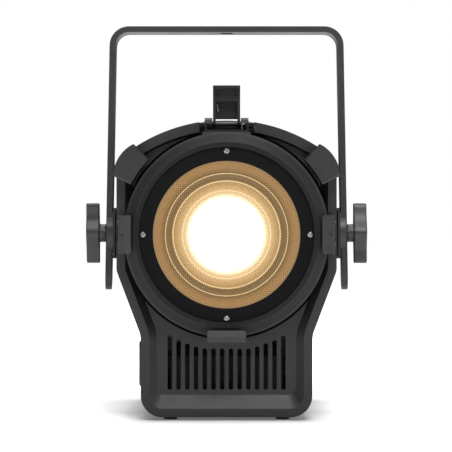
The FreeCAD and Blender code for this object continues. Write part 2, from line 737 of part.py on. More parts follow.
def latch_arm():
    """Channel that stands up when open and folds down over an accessory frame's top edge."""
    arm = Piece("latch_arm", z=D.axis_height + pin_height, y=behind(D.pin_back))
    half, wall, deep, tall = D.arm_half, D.arm_wall, D.arm_depth / 2, D.arm_length
    for start in (-half, half - wall):
        arm.pad("side", start, wall, polygon(
            [(-deep, 0), (deep, 0), (deep, tall - 4), (deep - 4, tall), (-deep, tall)],
            {0: D.arm_depth * 0.55}))
    arm.pad("front", -deep, 2.2, box(-half, tall - 14, half, tall))
    arm.pad("front", deep - 2.5, 2.5, box(-half, 4, half, 24))
    arm.pad("top", tall - 3, 3, box(-half, -deep - D.lip_reach, half, -deep + 2))
    arm.cut("side", -half - 1, 2 * half + 2, circle(0, 0, D.pin_radius + 0.08))
    arm.cut("front", -deep - 1, 2.4, circle(-8, tall - 7.3, 2.1), circle(8, tall - 7.3, 2.1))
    arm.round(1.5, lambda way, mid: abs(way.z) > 0.99 and abs(mid.y + deep.value
              + D.lip_reach.value) < 0.1)
    return arm


# --- yoke and knobs -----------------------------------------------------------------------------

def yoke_strap():
    """Flat strap bent to a U, whose legs spread a little towards the pivots."""
    yoke = Piece("yoke_strap", y=behind(D.pivot_back))
    thick, top = D.strap_thick, D.yoke_height
    low = pivot_height - D.strap_tail
    slope = D.strap_splay / (top - pivot_height)
    top_in, low_in = strap_inner - D.strap_splay, strap_inner + slope * D.strap_tail
    top_out, low_out = top_in + thick, low_in + thick
    yoke.pad("front", -D.strap_width / 2, D.strap_width, polygon([
        (-top_out, top), (-low_out, low), (-low_in, low), (-top_in, top - thick),
        (top_in, top - thick), (low_in, low), (low_out, low), (top_out, top)]))
    yoke.round(D.yoke_bend, lambda way, mid: abs(way.y) > 0.99 and abs(mid.z - top.value) < 0.1)
    yoke.round(D.yoke_bend - thick,
               lambda way, mid: abs(way.y) > 0.99 and abs(mid.z - top.value + thick.value) < 0.1)
    yoke.round(D.strap_width / 2 - 0.1,
               lambda way, mid: abs(way.x) > 0.9 and abs(mid.z - low.value) < 0.1)
    reach = low_out + 1
    yoke.cut("side", -reach, 2 * reach, circle(0, pivot_height, D.stud_radius + D.loose))
    yoke.cut("top", top - thick - 1, thick + 2, circle(0, 0, D.bolt_radius))
    return yoke


def friction_washers():
    """Two discs, each slotted across so that the strap lies in it and turns it."""
    washers = Piece("friction_washers", z=pivot_height, y=behind(D.pivot_back))
    floor, seat = block_face + D.loose, strap_inner - D.running
    slope, reach, half = D.strap_splay / (D.yoke_height - pivot_height), 30, D.strap_width / 2
    for start in (floor, -floor - D.washer_thick):
        washers.pad("side", start, D.washer_thick, circle(0, 0, D.washer_radius),
                    circle(0, 0, D.stud_radius + D.loose))
    for side in (-1, 1):
        washers.cut("front", -half - 0.1, D.strap_width + 0.2, polygon([
            (side * (seat + slope * reach), -reach), (side * (seat + 20), -reach),
            (side * (seat + 20), reach), (side * (seat - slope * reach), reach)]))
    return washers


def knob(label, side):
    """Two-winged clamping knob: a hub and two swept wings, on a round neck."""
    grip = Piece(label, z=pivot_height, y=behind(D.pivot_back))
    start = knob_inner if side > 0 else -knob_outer
    tip, root_half, tip_half, sweep = D.wing_half, 8.5, 3.6, 3.4
    grip.pad("side", start, D.wing_width, circle(0, 0, 12.5))
    for way in (-1, 1):
        points = [(-root_half, -4), (root_half, -4), (sweep + tip_half, tip - 3),
                  (sweep + tip_half - 3, tip), (sweep - tip_half + 3, tip), (sweep - tip_half, tip - 3)]
        grip.pad("side", start, D.wing_width,
                 polygon([(across * way * side, up * way) for across, up in points]))
    outer = knob_outer if side > 0 else -knob_outer
    grip.round(1.2, lambda way, mid: abs(way.x) < 0.01 and abs(mid.x - outer.value) < 0.1,
               "Chamfer")
    neck = neck_face if side > 0 else -knob_inner
    grip.pad("side", neck, D.neck_length, circle(0, 0, D.neck_radius))
    bore = neck_face if side > 0 else -knob_inner - 7
    grip.cut("side", bore, D.neck_length + 7, circle(0, 0, D.stud_radius + 0.02))
    return grip


def knob_stud(label, side):
    """Plain stud of one knob, in the knob and in the brass insert."""
    stud = Piece(label, z=pivot_height, y=behind(D.pivot_back))
    inner, outer = block_face - 17, knob_inner + 7
    stud.pad("side", inner if side > 0 else -outer, outer - inner, circle(0, 0, D.stud_radius))
    return stud


# --- optical engine -----------------------------------------------------------------------------

def rod_places():
    """Return the two guide rods' places, from the lens axis."""
    return [(-D.rod_half, D.rod_rise), (D.rod_half, D.rod_rise)]


def rod_bracket_front():
    """Ring on the back of the barrel that carries the rods and the drive screw's front end."""
    bracket = Piece("rod_bracket_front", z=D.axis_height)
    rods = [circle(*place, D.rod_radius + 0.02) for place in rod_places()]
    bracket.pad("front", behind(D.barrel_end), 4, circle(0, 0, D.barrel_radius),
                circle(0, 0, D.screw_rise - 8), *rods,
                circle(0, D.screw_rise, D.rod_radius + D.running))
    return bracket


def rod_bracket_rear():
    """Cross plate for the rods' rear ends, with a tab for the zoom motor."""
    bracket = Piece("rod_bracket_rear", z=D.axis_height)
    wide = shoulder_half - D.seam - D.wall
    tab = D.motor_half + 3
    high = D.screw_rise + D.motor_half + 1
    rods = [circle(*place, D.rod_radius + 0.02) for place in rod_places()]
    bracket.pad("front", behind(rear_bracket), 4, polygon([
        (-wide, 18), (wide, 18), (wide, 42), (tab, 42), (tab, high), (-tab, high), (-tab, 42),
        (-wide, 42)]), *rods, circle(0, D.screw_rise, D.rod_radius + 0.5))
    return bracket


def guide_rods():
    """Two rods that the carriage slides on."""
    rods = Piece("guide_rods", z=D.axis_height)
    rods.pad("front", behind(D.barrel_end), rear_bracket + 4 - D.barrel_end,
             *[circle(*place, D.rod_radius) for place in rod_places()])
    return rods


def lead_screw():
    """Drive screw, drawn at its thread's outer diameter."""
    screw = Piece("lead_screw", z=D.axis_height + D.screw_rise)
    screw.pad("front", behind(D.barrel_end + 0.5), rear_bracket + 14 - D.barrel_end,
              circle(0, 0, D.rod_radius))
    return screw


def zoom_motor():
    """Motor that turns the drive screw."""
    motor = Piece("zoom_motor", z=D.axis_height + D.screw_rise)
    half = D.motor_half
    motor.pad("front", behind(rear_bracket + 4), D.motor_length, box(-half, -half, half, half))
    motor.round(4, lambda way, mid: abs(way.y) > 0.99, "Chamfer")
    motor.cut("front", behind(rear_bracket + 4), 12, circle(0, 0, D.rod_radius + D.running))
    return motor


def carriage_plate():
    """Plate that slides on the rods and carries the light engine."""
    plate = Piece("carriage_plate", z=D.axis_height)
    wide, low, high = D.rod_half + 11, 52, D.screw_rise + 12
    bushings = [circle(*place, 8) for place in rod_places()]
    plate.pad("front", behind(D.engine_front), 5, polygon([
        (-44, -low), (44, -low), (wide, 10), (wide, 46), (22, high), (-22, high), (-wide, 46),
        (-wide, 10)]), *bushings, circle(0, D.screw_rise, 7))
    return plate


def carriage_bushings():
    """Brass bushings between the carriage and its rods."""
    bushings = Piece("carriage_bushings", z=D.axis_height)
    loops = [circle(*place, radius) for place in rod_places()
             for radius in (8, D.rod_radius + D.running)]
    bushings.pad("front", behind(D.engine_front - 5), 18, *loops)
    return bushings


def lead_nut():
    """Flanged nut of the drive screw, held in the carriage."""
    nut = Piece("lead_nut", z=D.axis_height + D.screw_rise)
    bore = circle(0, 0, D.rod_radius + D.running)
    nut.pad("front", behind(D.engine_front - 4), 4, circle(0, 0, 10), bore)
    nut.pad("front", behind(D.engine_front), 9, circle(0, 0, 7), bore)
    return nut


def led_board():
    """Board that carries the emitter."""
    board = Piece("led_board", z=D.axis_height)
    board.pad("front", behind(D.engine_front - 2), 2, soft_box(-28, -28, 28, 28, 4))
    return board


def led_emitter():
    """Round light source."""
    emitter = Piece("led_emitter", z=D.axis_height)
    emitter.pad("front", behind(D.engine_front - 3), 1, circle(0, 0, 19))
    return emitter


def light_collector():
    """Reflecting cone in front of the emitter."""
    cone = Piece("light_collector", z=D.axis_height)
    cone.turn(polygon([
        (behind(D.engine_front - 2), 20), (behind(D.engine_front - 16), 32),
        (behind(D.engine_front - 16), 34), (behind(D.engine_front - 2), 23)]))
    return cone


def heat_sink():
    """Finned block behind the carriage plate."""
    sink = Piece("heat_sink", z=D.axis_height)
    half = D.sink_half
    sink.pad("front", behind(sink_front), 6, box(-half, -half, half, half))
    sink.pad("front", behind(sink_front + 6), D.sink_depth, box(-half, -half, -half + 2, half))
    sink.repeat_along_x(2 * half - 2, 15)
    return sink


def fan_frame():
    """Fan housing with a cross of struts and a stub shaft."""
    frame = Piece("fan_frame", z=D.axis_height)
    half, bore = D.sink_half - 4, D.sink_half - 7
    frame.pad("front", behind(fan_front), D.fan_depth, soft_box(-half, -half, half, half, 5),
              circle(0, 0, bore))
    strut = behind(fan_front + D.fan_depth - 3)
    frame.pad("front", strut, 3, circle(0, 0, 15))
    frame.pad("front", strut, 3, box(-bore - 1, -2, bore + 1, 2))
    frame.pad("front", strut, 3, box(-2, -bore - 1, 2, bore + 1))
    frame.pad("front", strut - 8, 8, circle(0, 0, 2))
    return frame


def fan_rotor():
    """Hub and seven blades on the frame's stub shaft."""
    rotor = Piece("fan_rotor", z=D.axis_height)
    tip, front = D.sink_half - 8.5, behind(fan_front + 3)
    rotor.pad("front", front, 12, circle(0, 0, 16))
    rotor.pad("top", 15, tip - 15, polygon([(-6, front + 0.5), (-4, front + 0.5), (6, front + 11),
                                             (4, front + 11)]))
    rotor.repeat_round(7)
    rotor.cut("front", front + 3, 9, circle(0, 0, 2 + D.running))
    return rotor


# --- electrics ----------------------------------------------------------------------------------

def power_supply():
    """Closed supply unit in the chin."""
    supply = Piece("power_supply")
    supply.pad("front", behind(front_back - 15), 145, box(-52, D.foot_height + 5, 52, 58))
    supply.round(2, lambda way, mid: abs(way.y) > 0.99, "Chamfer")
    return supply


def control_pod():
    """Shallow cover on the chin's left side, over the display and the buttons."""
    pod = Piece("control_pod")
    front, back = behind(D.pod_front), behind(D.pod_front + D.pod_length)
    pod.pad("side", -pod_outer, D.pod_proud, soft_box(front, D.pod_low, back, D.pod_high, 6))
    pod.cut("side", -pod_outer + D.pod_wall, D.pod_proud - D.pod_wall,
            box(front + 4, D.pod_low + 4, back - 4, D.pod_high - 4))
    pod.cut("side", -pod_outer - 1, D.pod_wall + 2, box(front + 13, 38, front + 73, 62),
            *[circle(*place, D.button_radius + D.loose) for place in button_places()])
    pod.round(1.4, lambda way, mid: abs(way.x) < 0.01 and abs(mid.x + pod_outer.value) < 0.1
              and (mid.z < D.pod_low.value + 7 or mid.z > D.pod_high.value - 7), "Chamfer")
    return pod


def button_places():
    """Return the (y, z) of the four buttons."""
    return [(behind(D.pod_front + 89 + 13 * number), 50) for number in range(4)]


def display_window():
    """Window over the display."""
    window = Piece("display_window")
    front = behind(D.pod_front + 13)
    window.pad("side", -pod_outer + 0.3, D.pod_wall - 0.3,
               box(front + 0.05, 38.05, front + 59.95, 61.95))
    return window


def display_module():
    """Display behind the window."""
    module = Piece("display_module")
    front = behind(D.pod_front + 13)
    start = -pod_outer + D.pod_wall
    module.pad("side", start, D.pod_proud + D.wall - D.pod_wall + 1.3,
               box(front + 2, 40, front + 58, 60))
    return module


def control_board():
    """Board behind the display and the buttons."""
    board = Piece("control_board")
    start = -main_half + D.wall + 1.3
    board.pad("side", start, 1.6, box(behind(D.pod_front + 9), 32,
                                      behind(D.pod_front + D.pod_length - 6), 66))
    return board


def button(label, place):
    """Button cap with a flange that keeps it behind the pod's face."""
    cap = Piece(label)
    face, back = -pod_outer - 1.7, -main_half + D.wall - 0.3
    cap.pad("side", face, back - face, circle(*place, D.button_radius))
    cap.pad("side", -pod_outer + D.pod_wall + 0.4, 1.4, circle(*place, D.button_radius + 1.2))
    return cap


def connector_panel():
    """Steel plate behind the rear cover's bay."""
    panel = Piece("connector_panel")
    holes = [circle(across, D.socket_height, D.socket_radius + 1.5) for across in socket_places()]
    panel.pad("front", behind(D.depth - D.wall - 1.5), 1.5, soft_box(-61, 20, 61, 84, 4), *holes,
              circle(0, 73, 5.6))
    return panel


def socket_places():
    """Return the X of the sockets: power in, power out, data in, data out."""
    return (-43.5, -14.5, 14.5, 43.5)


def socket(label, across, pins):
    """Panel socket: a square flange, a round barrel and the pins in its hollow."""
    made = Piece(label, z=D.socket_height)
    face, wide, tall = D.depth - D.wall + 2, D.flange_half_width, D.flange_half_height
    made.pad("front", behind(face - 2), 2, soft_box(across - wide, -tall, across + wide, tall, 2.5))
    made.pad("front", behind(face - 22), 20, circle(across, 0, D.socket_radius + 1.4))
    made.cut("front", behind(face - D.socket_depth), D.socket_depth,
             circle(across, 0, D.socket_radius))
    contacts = [turned(7.0, 90 + 120 * number) for number in range(3)]
    if pins:
        made.pad("front", behind(face - D.socket_depth), 8,
                 *[circle(across + right, up, 1.0) for right, up in contacts])
    else:
        made.pad("front", behind(face - D.socket_depth), 12, circle(across, 0, 8.2),
                 *[circle(across + right * 0.7, up * 0.7, 1.3) for right, up in contacts])
    return made


def fuse_holder():
    """Fuse carrier with a slotted cap."""
    holder = Piece("fuse_holder", z=73)
    seat = D.depth - D.wall
    holder.pad("front", behind(seat), 2.5, circle(0, 0, 6.5))
    holder.pad("front", behind(seat - 20), 20, circle(0, 0, 5.5))
    holder.cut("front", behind(seat + 1.5), 1, box(-4.5, -0.7, 4.5, 0.7))
    return holder


def build():
    """Build every sub-part, in the order that the lamp is put together."""
    cover = rear_cover()
    counterbore_cover(cover)
    pieces = [cover, front_ring(), lens_plate(), lens_screws(), fresnel_lens(), lens_gasket(),
              lens_barrel(), clip_screws(), front_housing(), main_housing(), cover_screws(),
              feet(), threaded_inserts(), safety_eye(), latch_bracket(), latch_pin(),
              latch_spring(), latch_arm(), yoke_strap(), friction_washers(), rod_bracket_front(),
              rod_bracket_rear(), guide_rods(), lead_screw(), zoom_motor(), carriage_plate(),
              carriage_bushings(), lead_nut(), led_board(), led_emitter(), light_collector(),
              heat_sink(), fan_frame(), fan_rotor(), power_supply(), control_pod(),
              display_window(), display_module(), control_board(), connector_panel(),
              fuse_holder()]
    for side, turn in (("bottom", 0), ("left", 90), ("right", -90)):
        pieces.append(frame_clip(f"frame_clip_{side}", turn))
    for name, side in (("left", -1), ("right", 1)):
        pieces += [shoulder_pad(f"shoulder_pad_{name}", side), side_block(f"side_block_{name}", side),
                   knob(f"knob_{name}", side), knob_stud(f"knob_stud_{name}", side)]
    for name, place in zip(("menu", "down", "up", "enter"), button_places()):
        pieces.append(button(f"button_{name}", place))
    names = ("power_inlet", "power_outlet", "data_input", "data_output")
    for name, across in zip(names, socket_places()):
        pieces.append(socket(name, across, pins=name != "data_output"))
    return pieces


def write(pieces):
    """Check every object and sub-part, then write one STEP file for each."""
    doc.recompute()
    faults = [item.Label for item in doc.Objects if {"Invalid", "Error"} & set(item.State)]
    for piece in pieces:
        shape = piece.body.Shape
        if shape.isNull() or not shape.isValid() or not shape.Solids:
            faults.append(piece.body.Label)
    if faults:
        raise ValueError(f"failed objects: {faults}")
    os.makedirs("parts", exist_ok=True)
    for piece in pieces:
        piece.body.Shape.exportStep(f"parts/{piece.body.Label}.step")
        print(piece.body.Label, len(piece.body.Shape.Solids), round(piece.body.Shape.Volume))


write(build())
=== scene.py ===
import json
import logging
import math
from dataclasses import dataclass
from enum import Enum

import bpy
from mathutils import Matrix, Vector


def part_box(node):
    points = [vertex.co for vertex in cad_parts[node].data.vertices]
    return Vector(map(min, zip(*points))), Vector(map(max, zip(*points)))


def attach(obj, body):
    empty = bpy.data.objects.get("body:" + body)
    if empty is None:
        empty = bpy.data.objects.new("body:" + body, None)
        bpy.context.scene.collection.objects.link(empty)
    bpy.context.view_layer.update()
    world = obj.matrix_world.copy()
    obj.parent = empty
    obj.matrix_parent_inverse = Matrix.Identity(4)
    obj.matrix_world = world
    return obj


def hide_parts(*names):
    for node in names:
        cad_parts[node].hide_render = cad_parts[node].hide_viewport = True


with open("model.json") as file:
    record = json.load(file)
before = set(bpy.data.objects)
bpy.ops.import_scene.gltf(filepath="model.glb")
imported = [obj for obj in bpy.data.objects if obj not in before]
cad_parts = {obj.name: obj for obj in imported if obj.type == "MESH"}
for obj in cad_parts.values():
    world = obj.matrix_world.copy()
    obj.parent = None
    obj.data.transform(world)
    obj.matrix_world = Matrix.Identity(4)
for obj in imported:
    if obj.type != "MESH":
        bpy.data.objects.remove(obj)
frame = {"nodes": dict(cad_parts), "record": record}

# Looks of a Fresnel spotlight. Metres; +Z is up and the lens looks along -Y.

LOG = logging.getLogger("fresnel_spotlight")
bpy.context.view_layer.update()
MM = 0.001


class Axis(Enum):
    """The row axis that a turned or extruded shape follows."""

    X = (1, 0, 0)
    Y = (0, 1, 0)
    Z = (0, 0, 1)


def middle(node: str) -> Vector:
    """Return the middle of a CAD node's box.

    Args:
        node: the node's name.

    Returns:
        The middle, in the frame.
    """
    low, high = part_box(node)
    return (Vector(low) + Vector(high)) / 2


# --- finishes -----------------------------------------------------------------------------------

class Nodes:
    """A material under construction, with short calls for its nodes."""

    def __init__(self, name: str) -> None:
        """Start an empty node material.

        Args:
            name: the material's name.
        """
        self.material = bpy.data.materials.new(name)
        self.material.use_nodes = True
        self.tree = self.material.node_tree
        self.tree.nodes.clear()
        self.output = self.add("ShaderNodeOutputMaterial")
        self.shader = self.add("ShaderNodeBsdfPrincipled")
        self.link(self.shader.outputs[0], self.output.inputs["Surface"])
        self.place = self.add("ShaderNodeTexCoord").outputs["Object"]

    def add(self, kind: str, **settings: object) -> bpy.types.Node:
        """Add a node and set its properties.

        Args:
            kind: the node's type name.
            settings: its properties, by name.

        Returns:
            The new node.
        """
        node = self.tree.nodes.new(kind)
        for key, value in settings.items():
            setattr(node, key, value)
        return node

    def link(self, start: bpy.types.NodeSocket, end: bpy.types.NodeSocket) -> None:
        """Join two sockets.

        Args:
            start: the output that gives the value.
            end: the input that takes it.
        """
        self.tree.links.new(start, end)

    def math(self, operation: str, first: object, second: object = 0.0) -> bpy.types.NodeSocket:
        """Add a Math node.

        Args:
            operation: the node's operation.
            first: a socket or a number.
            second: a socket or a number.

        Returns:
            The node's output.
        """
        node = self.add("ShaderNodeMath", operation=operation)
        for socket, value in zip(node.inputs, (first, second)):
            if isinstance(value, bpy.types.NodeSocket):
                self.link(value, socket)
            else:
                socket.default_value = value
        return node.outputs[0]

    def polar(self, height: float) -> tuple[bpy.types.NodeSocket, ...]:
        """Measure places from the lens axis.

        Args:
            height: the axis height.

        Returns:
            The distances across, up and straight out from the axis.
        """
        split = self.add("ShaderNodeSeparateXYZ")
        self.link(self.place, split.inputs[0])
        across, up = split.outputs["X"], self.math("SUBTRACT", split.outputs["Z"], height)
        squares = self.math("ADD", self.math("MULTIPLY", across, across),
                            self.math("MULTIPLY", up, up))
        return across, up, self.math("SQRT", squares)

    def noise(self, scale: float, detail: float = 2.0) -> bpy.types.NodeSocket:
        """Add a noise pattern on Object coordinates.

        Args:
            scale: its pitch, in cells per metre.
            detail: how many finer octaves it has.

        Returns:
            The pattern's value, from 0 to 1.
        """
        node = self.add("ShaderNodeTexNoise")
        node.inputs["Scale"].default_value = scale
        node.inputs["Detail"].default_value = detail
        self.link(self.place, node.inputs["Vector"])
        return node.outputs["Fac"]

    def ramp(self, value: bpy.types.NodeSocket, stops: list) -> bpy.types.NodeSocket:
        """Add a colour ramp.

        Args:
            value: the socket that drives the ramp.
            stops: (position, (red, green, blue)) pairs, in order.

        Returns:
            The ramp's colour.
        """
        node = self.add("ShaderNodeValToRGB")
        elements = node.color_ramp.elements
        while len(elements) < len(stops):
            elements.new(0.5)
        for element, (position, colour) in zip(elements, stops):
            element.position = position
            element.color = (*colour, 1.0)
        self.link(value, node.inputs[0])
        return node.outputs[0]

    def roughen(self, pattern: bpy.types.NodeSocket, spread: float, least: float) -> None:
        """Set the roughness by a pattern.

        Args:
            pattern: a value from 0 to 1.
            spread: how much the roughness grows with it.
            least: the roughness where it is 0.
        """
        value = self.math("ADD", self.math("MULTIPLY", pattern, spread), least)
        self.link(value, self.shader.inputs["Roughness"])

    def bump(self, height: bpy.types.NodeSocket, strength: float, distance: float) -> None:
        """Roughen the surface by a height pattern.

        Args:
            height: the pattern.
            strength: the share of its effect.
            distance: how far its peaks stand up.
        """
        node = self.add("ShaderNodeBump")
        node.inputs["Strength"].default_value = strength
        node.inputs["Distance"].default_value = distance
        self.link(height, node.inputs["Height"])
        self.link(node.outputs[0], self.shader.inputs["Normal"])


@dataclass(frozen=True)
class PowderCoat:
    """Baked powder paint on metal: fine grain, soft mottling and faint rub marks.

    The tone is the paint's linear grey, the grain is its pitch per metre.
    """

    name: str
    tone: float
    roughness: float = 0.5
    grain: float = 1500.0
    bump: float = 0.35
    specular: float = 0.5

    def build(self) -> bpy.types.Material:
        """Return the material."""
        nodes = Nodes(self.name)
        mottle = nodes.noise(38.0, 4.0)
        fine = nodes.noise(self.grain, 3.0)
        both = nodes.math("ADD", nodes.math("MULTIPLY", mottle, 0.6),
                          nodes.math("MULTIPLY", fine, 0.4))
        low, high = self.tone * 0.78, self.tone * 1.25
        colour = nodes.ramp(both, [(0.3, (low, low, low * 1.02)), (0.7, (high, high, high * 1.01))])
        nodes.link(colour, nodes.shader.inputs["Base Color"])
        nodes.roughen(mottle, 0.16, self.roughness - 0.08)
        nodes.shader.inputs["Specular IOR Level"].default_value = self.specular
        nodes.bump(fine, self.bump, 0.25 * MM)
        return nodes.material


@dataclass(frozen=True)
class TurnedCoat:
    """Thin satin coat over a turned ring: fine round lines, and a painted highlight: the bevel
    painted lighter than the flat, with bright painted lines at its inner crease and outer rim.

    The sizes are the bevel's inner radius, the outer radius and the axis height.
    """

    name: str
    flat_tone: float
    bevel_highlight_tone: float
    bevel_start: float
    outer: float
    height: float

    def build(self) -> bpy.types.Material:
        """Return the material, centred on the lens axis."""
        nodes = Nodes(self.name)
        _, _, reach = nodes.polar(self.height)
        share = nodes.math("DIVIDE", reach, self.outer)
        lines = nodes.add("ShaderNodeTexNoise", noise_dimensions="1D")
        lines.inputs["Scale"].default_value = 160.0
        nodes.link(share, lines.inputs["W"])
        # Painted highlight: the bevel is lighter than the flat, a brighter painted line marks where
        # it starts, and a bright painted line runs along the outer rim.
        start, flat, bevel = self.bevel_start / self.outer, self.flat_tone, self.bevel_highlight_tone
        edge = self.bevel_highlight_tone * 1.9
        tone = nodes.ramp(share, [
            (0.0, (flat,) * 3), (start - 0.012, (flat,) * 3), (start, (bevel * 1.35,) * 3),
            (start + 0.012, (bevel,) * 3), (0.975, (bevel,) * 3), (0.992, (edge,) * 3)])
        streak = nodes.math("ADD", nodes.math("MULTIPLY", lines.outputs["Fac"], 1.1), 0.45)
        mixed = nodes.add("ShaderNodeVectorMath", operation="SCALE")
        nodes.link(tone, mixed.inputs[0])
        nodes.link(streak, mixed.inputs["Scale"])
        nodes.link(mixed.outputs[0], nodes.shader.inputs["Base Color"])
        nodes.roughen(nodes.noise(40.0, 3.0), 0.15, 0.42)
        nodes.shader.inputs["Specular IOR Level"].default_value = 0.15
        nodes.bump(lines.outputs["Fac"], 0.3, 0.2 * MM)
        return nodes.material


@dataclass(frozen=True)
class BareMetal:
    """Plated, turned or drawn metal with fine streaks along one axis."""

    name: str
    colour: tuple[float, float, float]
    roughness: float = 0.28
    stretch: tuple[float, float, float] = (900.0, 900.0, 60.0)

    def build(self) -> bpy.types.Material:
        """Return the material."""
        nodes = Nodes(self.name)
        mapping = nodes.add("ShaderNodeMapping")
        mapping.inputs["Scale"].default_value = self.stretch
        nodes.link(nodes.place, mapping.inputs["Vector"])
        streak = nodes.add("ShaderNodeTexNoise")
        streak.inputs["Scale"].default_value = 1.0
        nodes.link(mapping.outputs[0], streak.inputs["Vector"])
        dark = tuple(value * 0.75 for value in self.colour)
        tint = nodes.ramp(streak.outputs["Fac"], [(0.3, dark), (0.7, self.colour)])
        nodes.link(tint, nodes.shader.inputs["Base Color"])
        nodes.shader.inputs["Metallic"].default_value = 1.0
        nodes.roughen(streak.outputs["Fac"], 0.2, self.roughness - 0.1)
        nodes.bump(streak.outputs["Fac"], 0.08, 0.1 * MM)
        return nodes.material


@dataclass(frozen=True)
class Moulded:
    """Moulded plastic or rubber with a spark-eroded grain."""

    name: str
    colour: tuple[float, float, float]
    roughness: float = 0.45
    grain: float = 2200.0
    bump: float = 0.25

    def build(self) -> bpy.types.Material:
        """Return the material."""
        nodes = Nodes(self.name)
        cloud, fine = nodes.noise(60.0, 3.0), nodes.noise(self.grain, 2.0)
        dark = tuple(value * 0.8 for value in self.colour)
        light = tuple(min(1.0, value * 1.2) for value in self.colour)
        colour = nodes.ramp(cloud, [(0.3, dark), (0.7, light)])
        nodes.link(colour, nodes.shader.inputs["Base Color"])
        nodes.roughen(cloud, 0.15, self.roughness - 0.07)
        nodes.bump(fine, self.bump, 0.2 * MM)
        return nodes.material


BLACK = (0.0, 0.0, 0.0)
# Colours and strengths of the lit lens; places and half widths are shares of its radius.
GLOW = [
    (0.0, (1.0, 1.0, 1.0)), (0.44, (1.0, 0.99, 0.95)), (0.50, (0.97, 0.84, 0.62)),
    (0.56, (0.86, 0.62, 0.33)), (0.63, (0.66, 0.42, 0.19)), (0.70, (0.47, 0.29, 0.12)),
    (0.735, (0.40, 0.25, 0.10)), (0.75, (0.19, 0.115, 0.045)), (0.82, (0.24, 0.145, 0.06)),
    (0.85, (0.21, 0.12, 0.045)), (0.90, (0.34, 0.19, 0.07)), (0.96, (0.38, 0.215, 0.085)),
    (1.0, (0.30, 0.19, 0.095))]
BRIGHT_RINGS = [(0.598, 0.010, (0.45, 0.36, 0.22)), (0.727, 0.009, (0.75, 0.58, 0.32)),
                (0.831, 0.009, (0.75, 0.58, 0.32))]
CORE = [(0.0, (3.2,) * 3), (0.44, (2.2,) * 3), (0.56, (1.0,) * 3), (1.0, (1.0,) * 3)]


@dataclass(frozen=True)
class LitLens:
    """Stepped glass lit from behind: a white core, amber rings and a stippled back.

    The back's dots lie where its spokes meet its steps. The radius is the lens's and the height
    is the axis's; the blur is a share of the radius, and the rest are shares of full light.
    """

    name: str
    radius: float
    height: float
    spokes: float = 130.0
    steps: float = 165.0
    blur: float = 0.05
    dot_depth: float = 0.42
    grain_depth: float = 0.9
    least: float = 0.55

    def build(self) -> bpy.types.Material:
        """Return the material, centred on the lens axis."""
        nodes = Nodes(self.name)
        across, up, out = nodes.polar(self.height)
        reach = nodes.math("DIVIDE", out, self.radius)
        shake = nodes.math("SUBTRACT", nodes.noise(900.0, 2.0), 0.5)
        glow = nodes.ramp(nodes.math("ADD", reach, nodes.math("MULTIPLY", shake, self.blur)), GLOW)
        stops = [(0.0, BLACK)]
        for place, half, colour in BRIGHT_RINGS:
            stops += [(place - half, BLACK), (place, colour), (place + half, BLACK)]
        rings = nodes.ramp(reach, stops)
        angle = nodes.math("ARCTAN2", across, up)
        spokes = nodes.math("SINE", nodes.math("MULTIPLY", angle, self.spokes))
        steps = nodes.math("SINE", nodes.math("MULTIPLY", reach, self.steps))
        dots = nodes.math("MULTIPLY", spokes, steps)
        grain = nodes.noise(1100.0, 2.0)
        grainy = nodes.math("ADD", nodes.math("MULTIPLY", grain, self.grain_depth), self.least)
        stipple = nodes.math("ADD", nodes.math("MULTIPLY", dots, self.dot_depth), grainy)
        shade = nodes.math("MULTIPLY", stipple, nodes.ramp(reach, CORE))
        total = nodes.add("ShaderNodeVectorMath", operation="ADD")
        nodes.link(glow, total.inputs[0])
        nodes.link(rings, total.inputs[1])
        nodes.link(total.outputs[0], nodes.shader.inputs["Emission Color"])
        nodes.link(shade, nodes.shader.inputs["Emission Strength"])
        nodes.shader.inputs["Base Color"].default_value = (0.02, 0.018, 0.012, 1.0)
        nodes.shader.inputs["Roughness"].default_value = 0.5
        nodes.shader.inputs["Specular IOR Level"].default_value = 0.1
        nodes.bump(grain, 0.15, 0.3 * MM)
        return nodes.material


@dataclass(frozen=True)
class Glowing:
    """A part that gives light, with a faint cell pattern."""

    name: str
    colour: tuple[float, float, float]
    strength: float

    def build(self) -> bpy.types.Material:
        """Return the material."""
        nodes = Nodes(self.name)
        cells = nodes.noise(700.0, 1.0)
        dark = tuple(value * 0.8 for value in self.colour)
        tint = nodes.ramp(cells, [(0.3, dark), (0.7, self.colour)])
        nodes.link(tint, nodes.shader.inputs["Base Color"])
        nodes.link(tint, nodes.shader.inputs["Emission Color"])
        nodes.shader.inputs["Emission Strength"].default_value = self.strength
        return nodes.material


PLATE_WIDTH = 12.5 * MM
RING_WIDTH = 13.7 * MM
BEVEL_WIDTH = 8.9 * MM


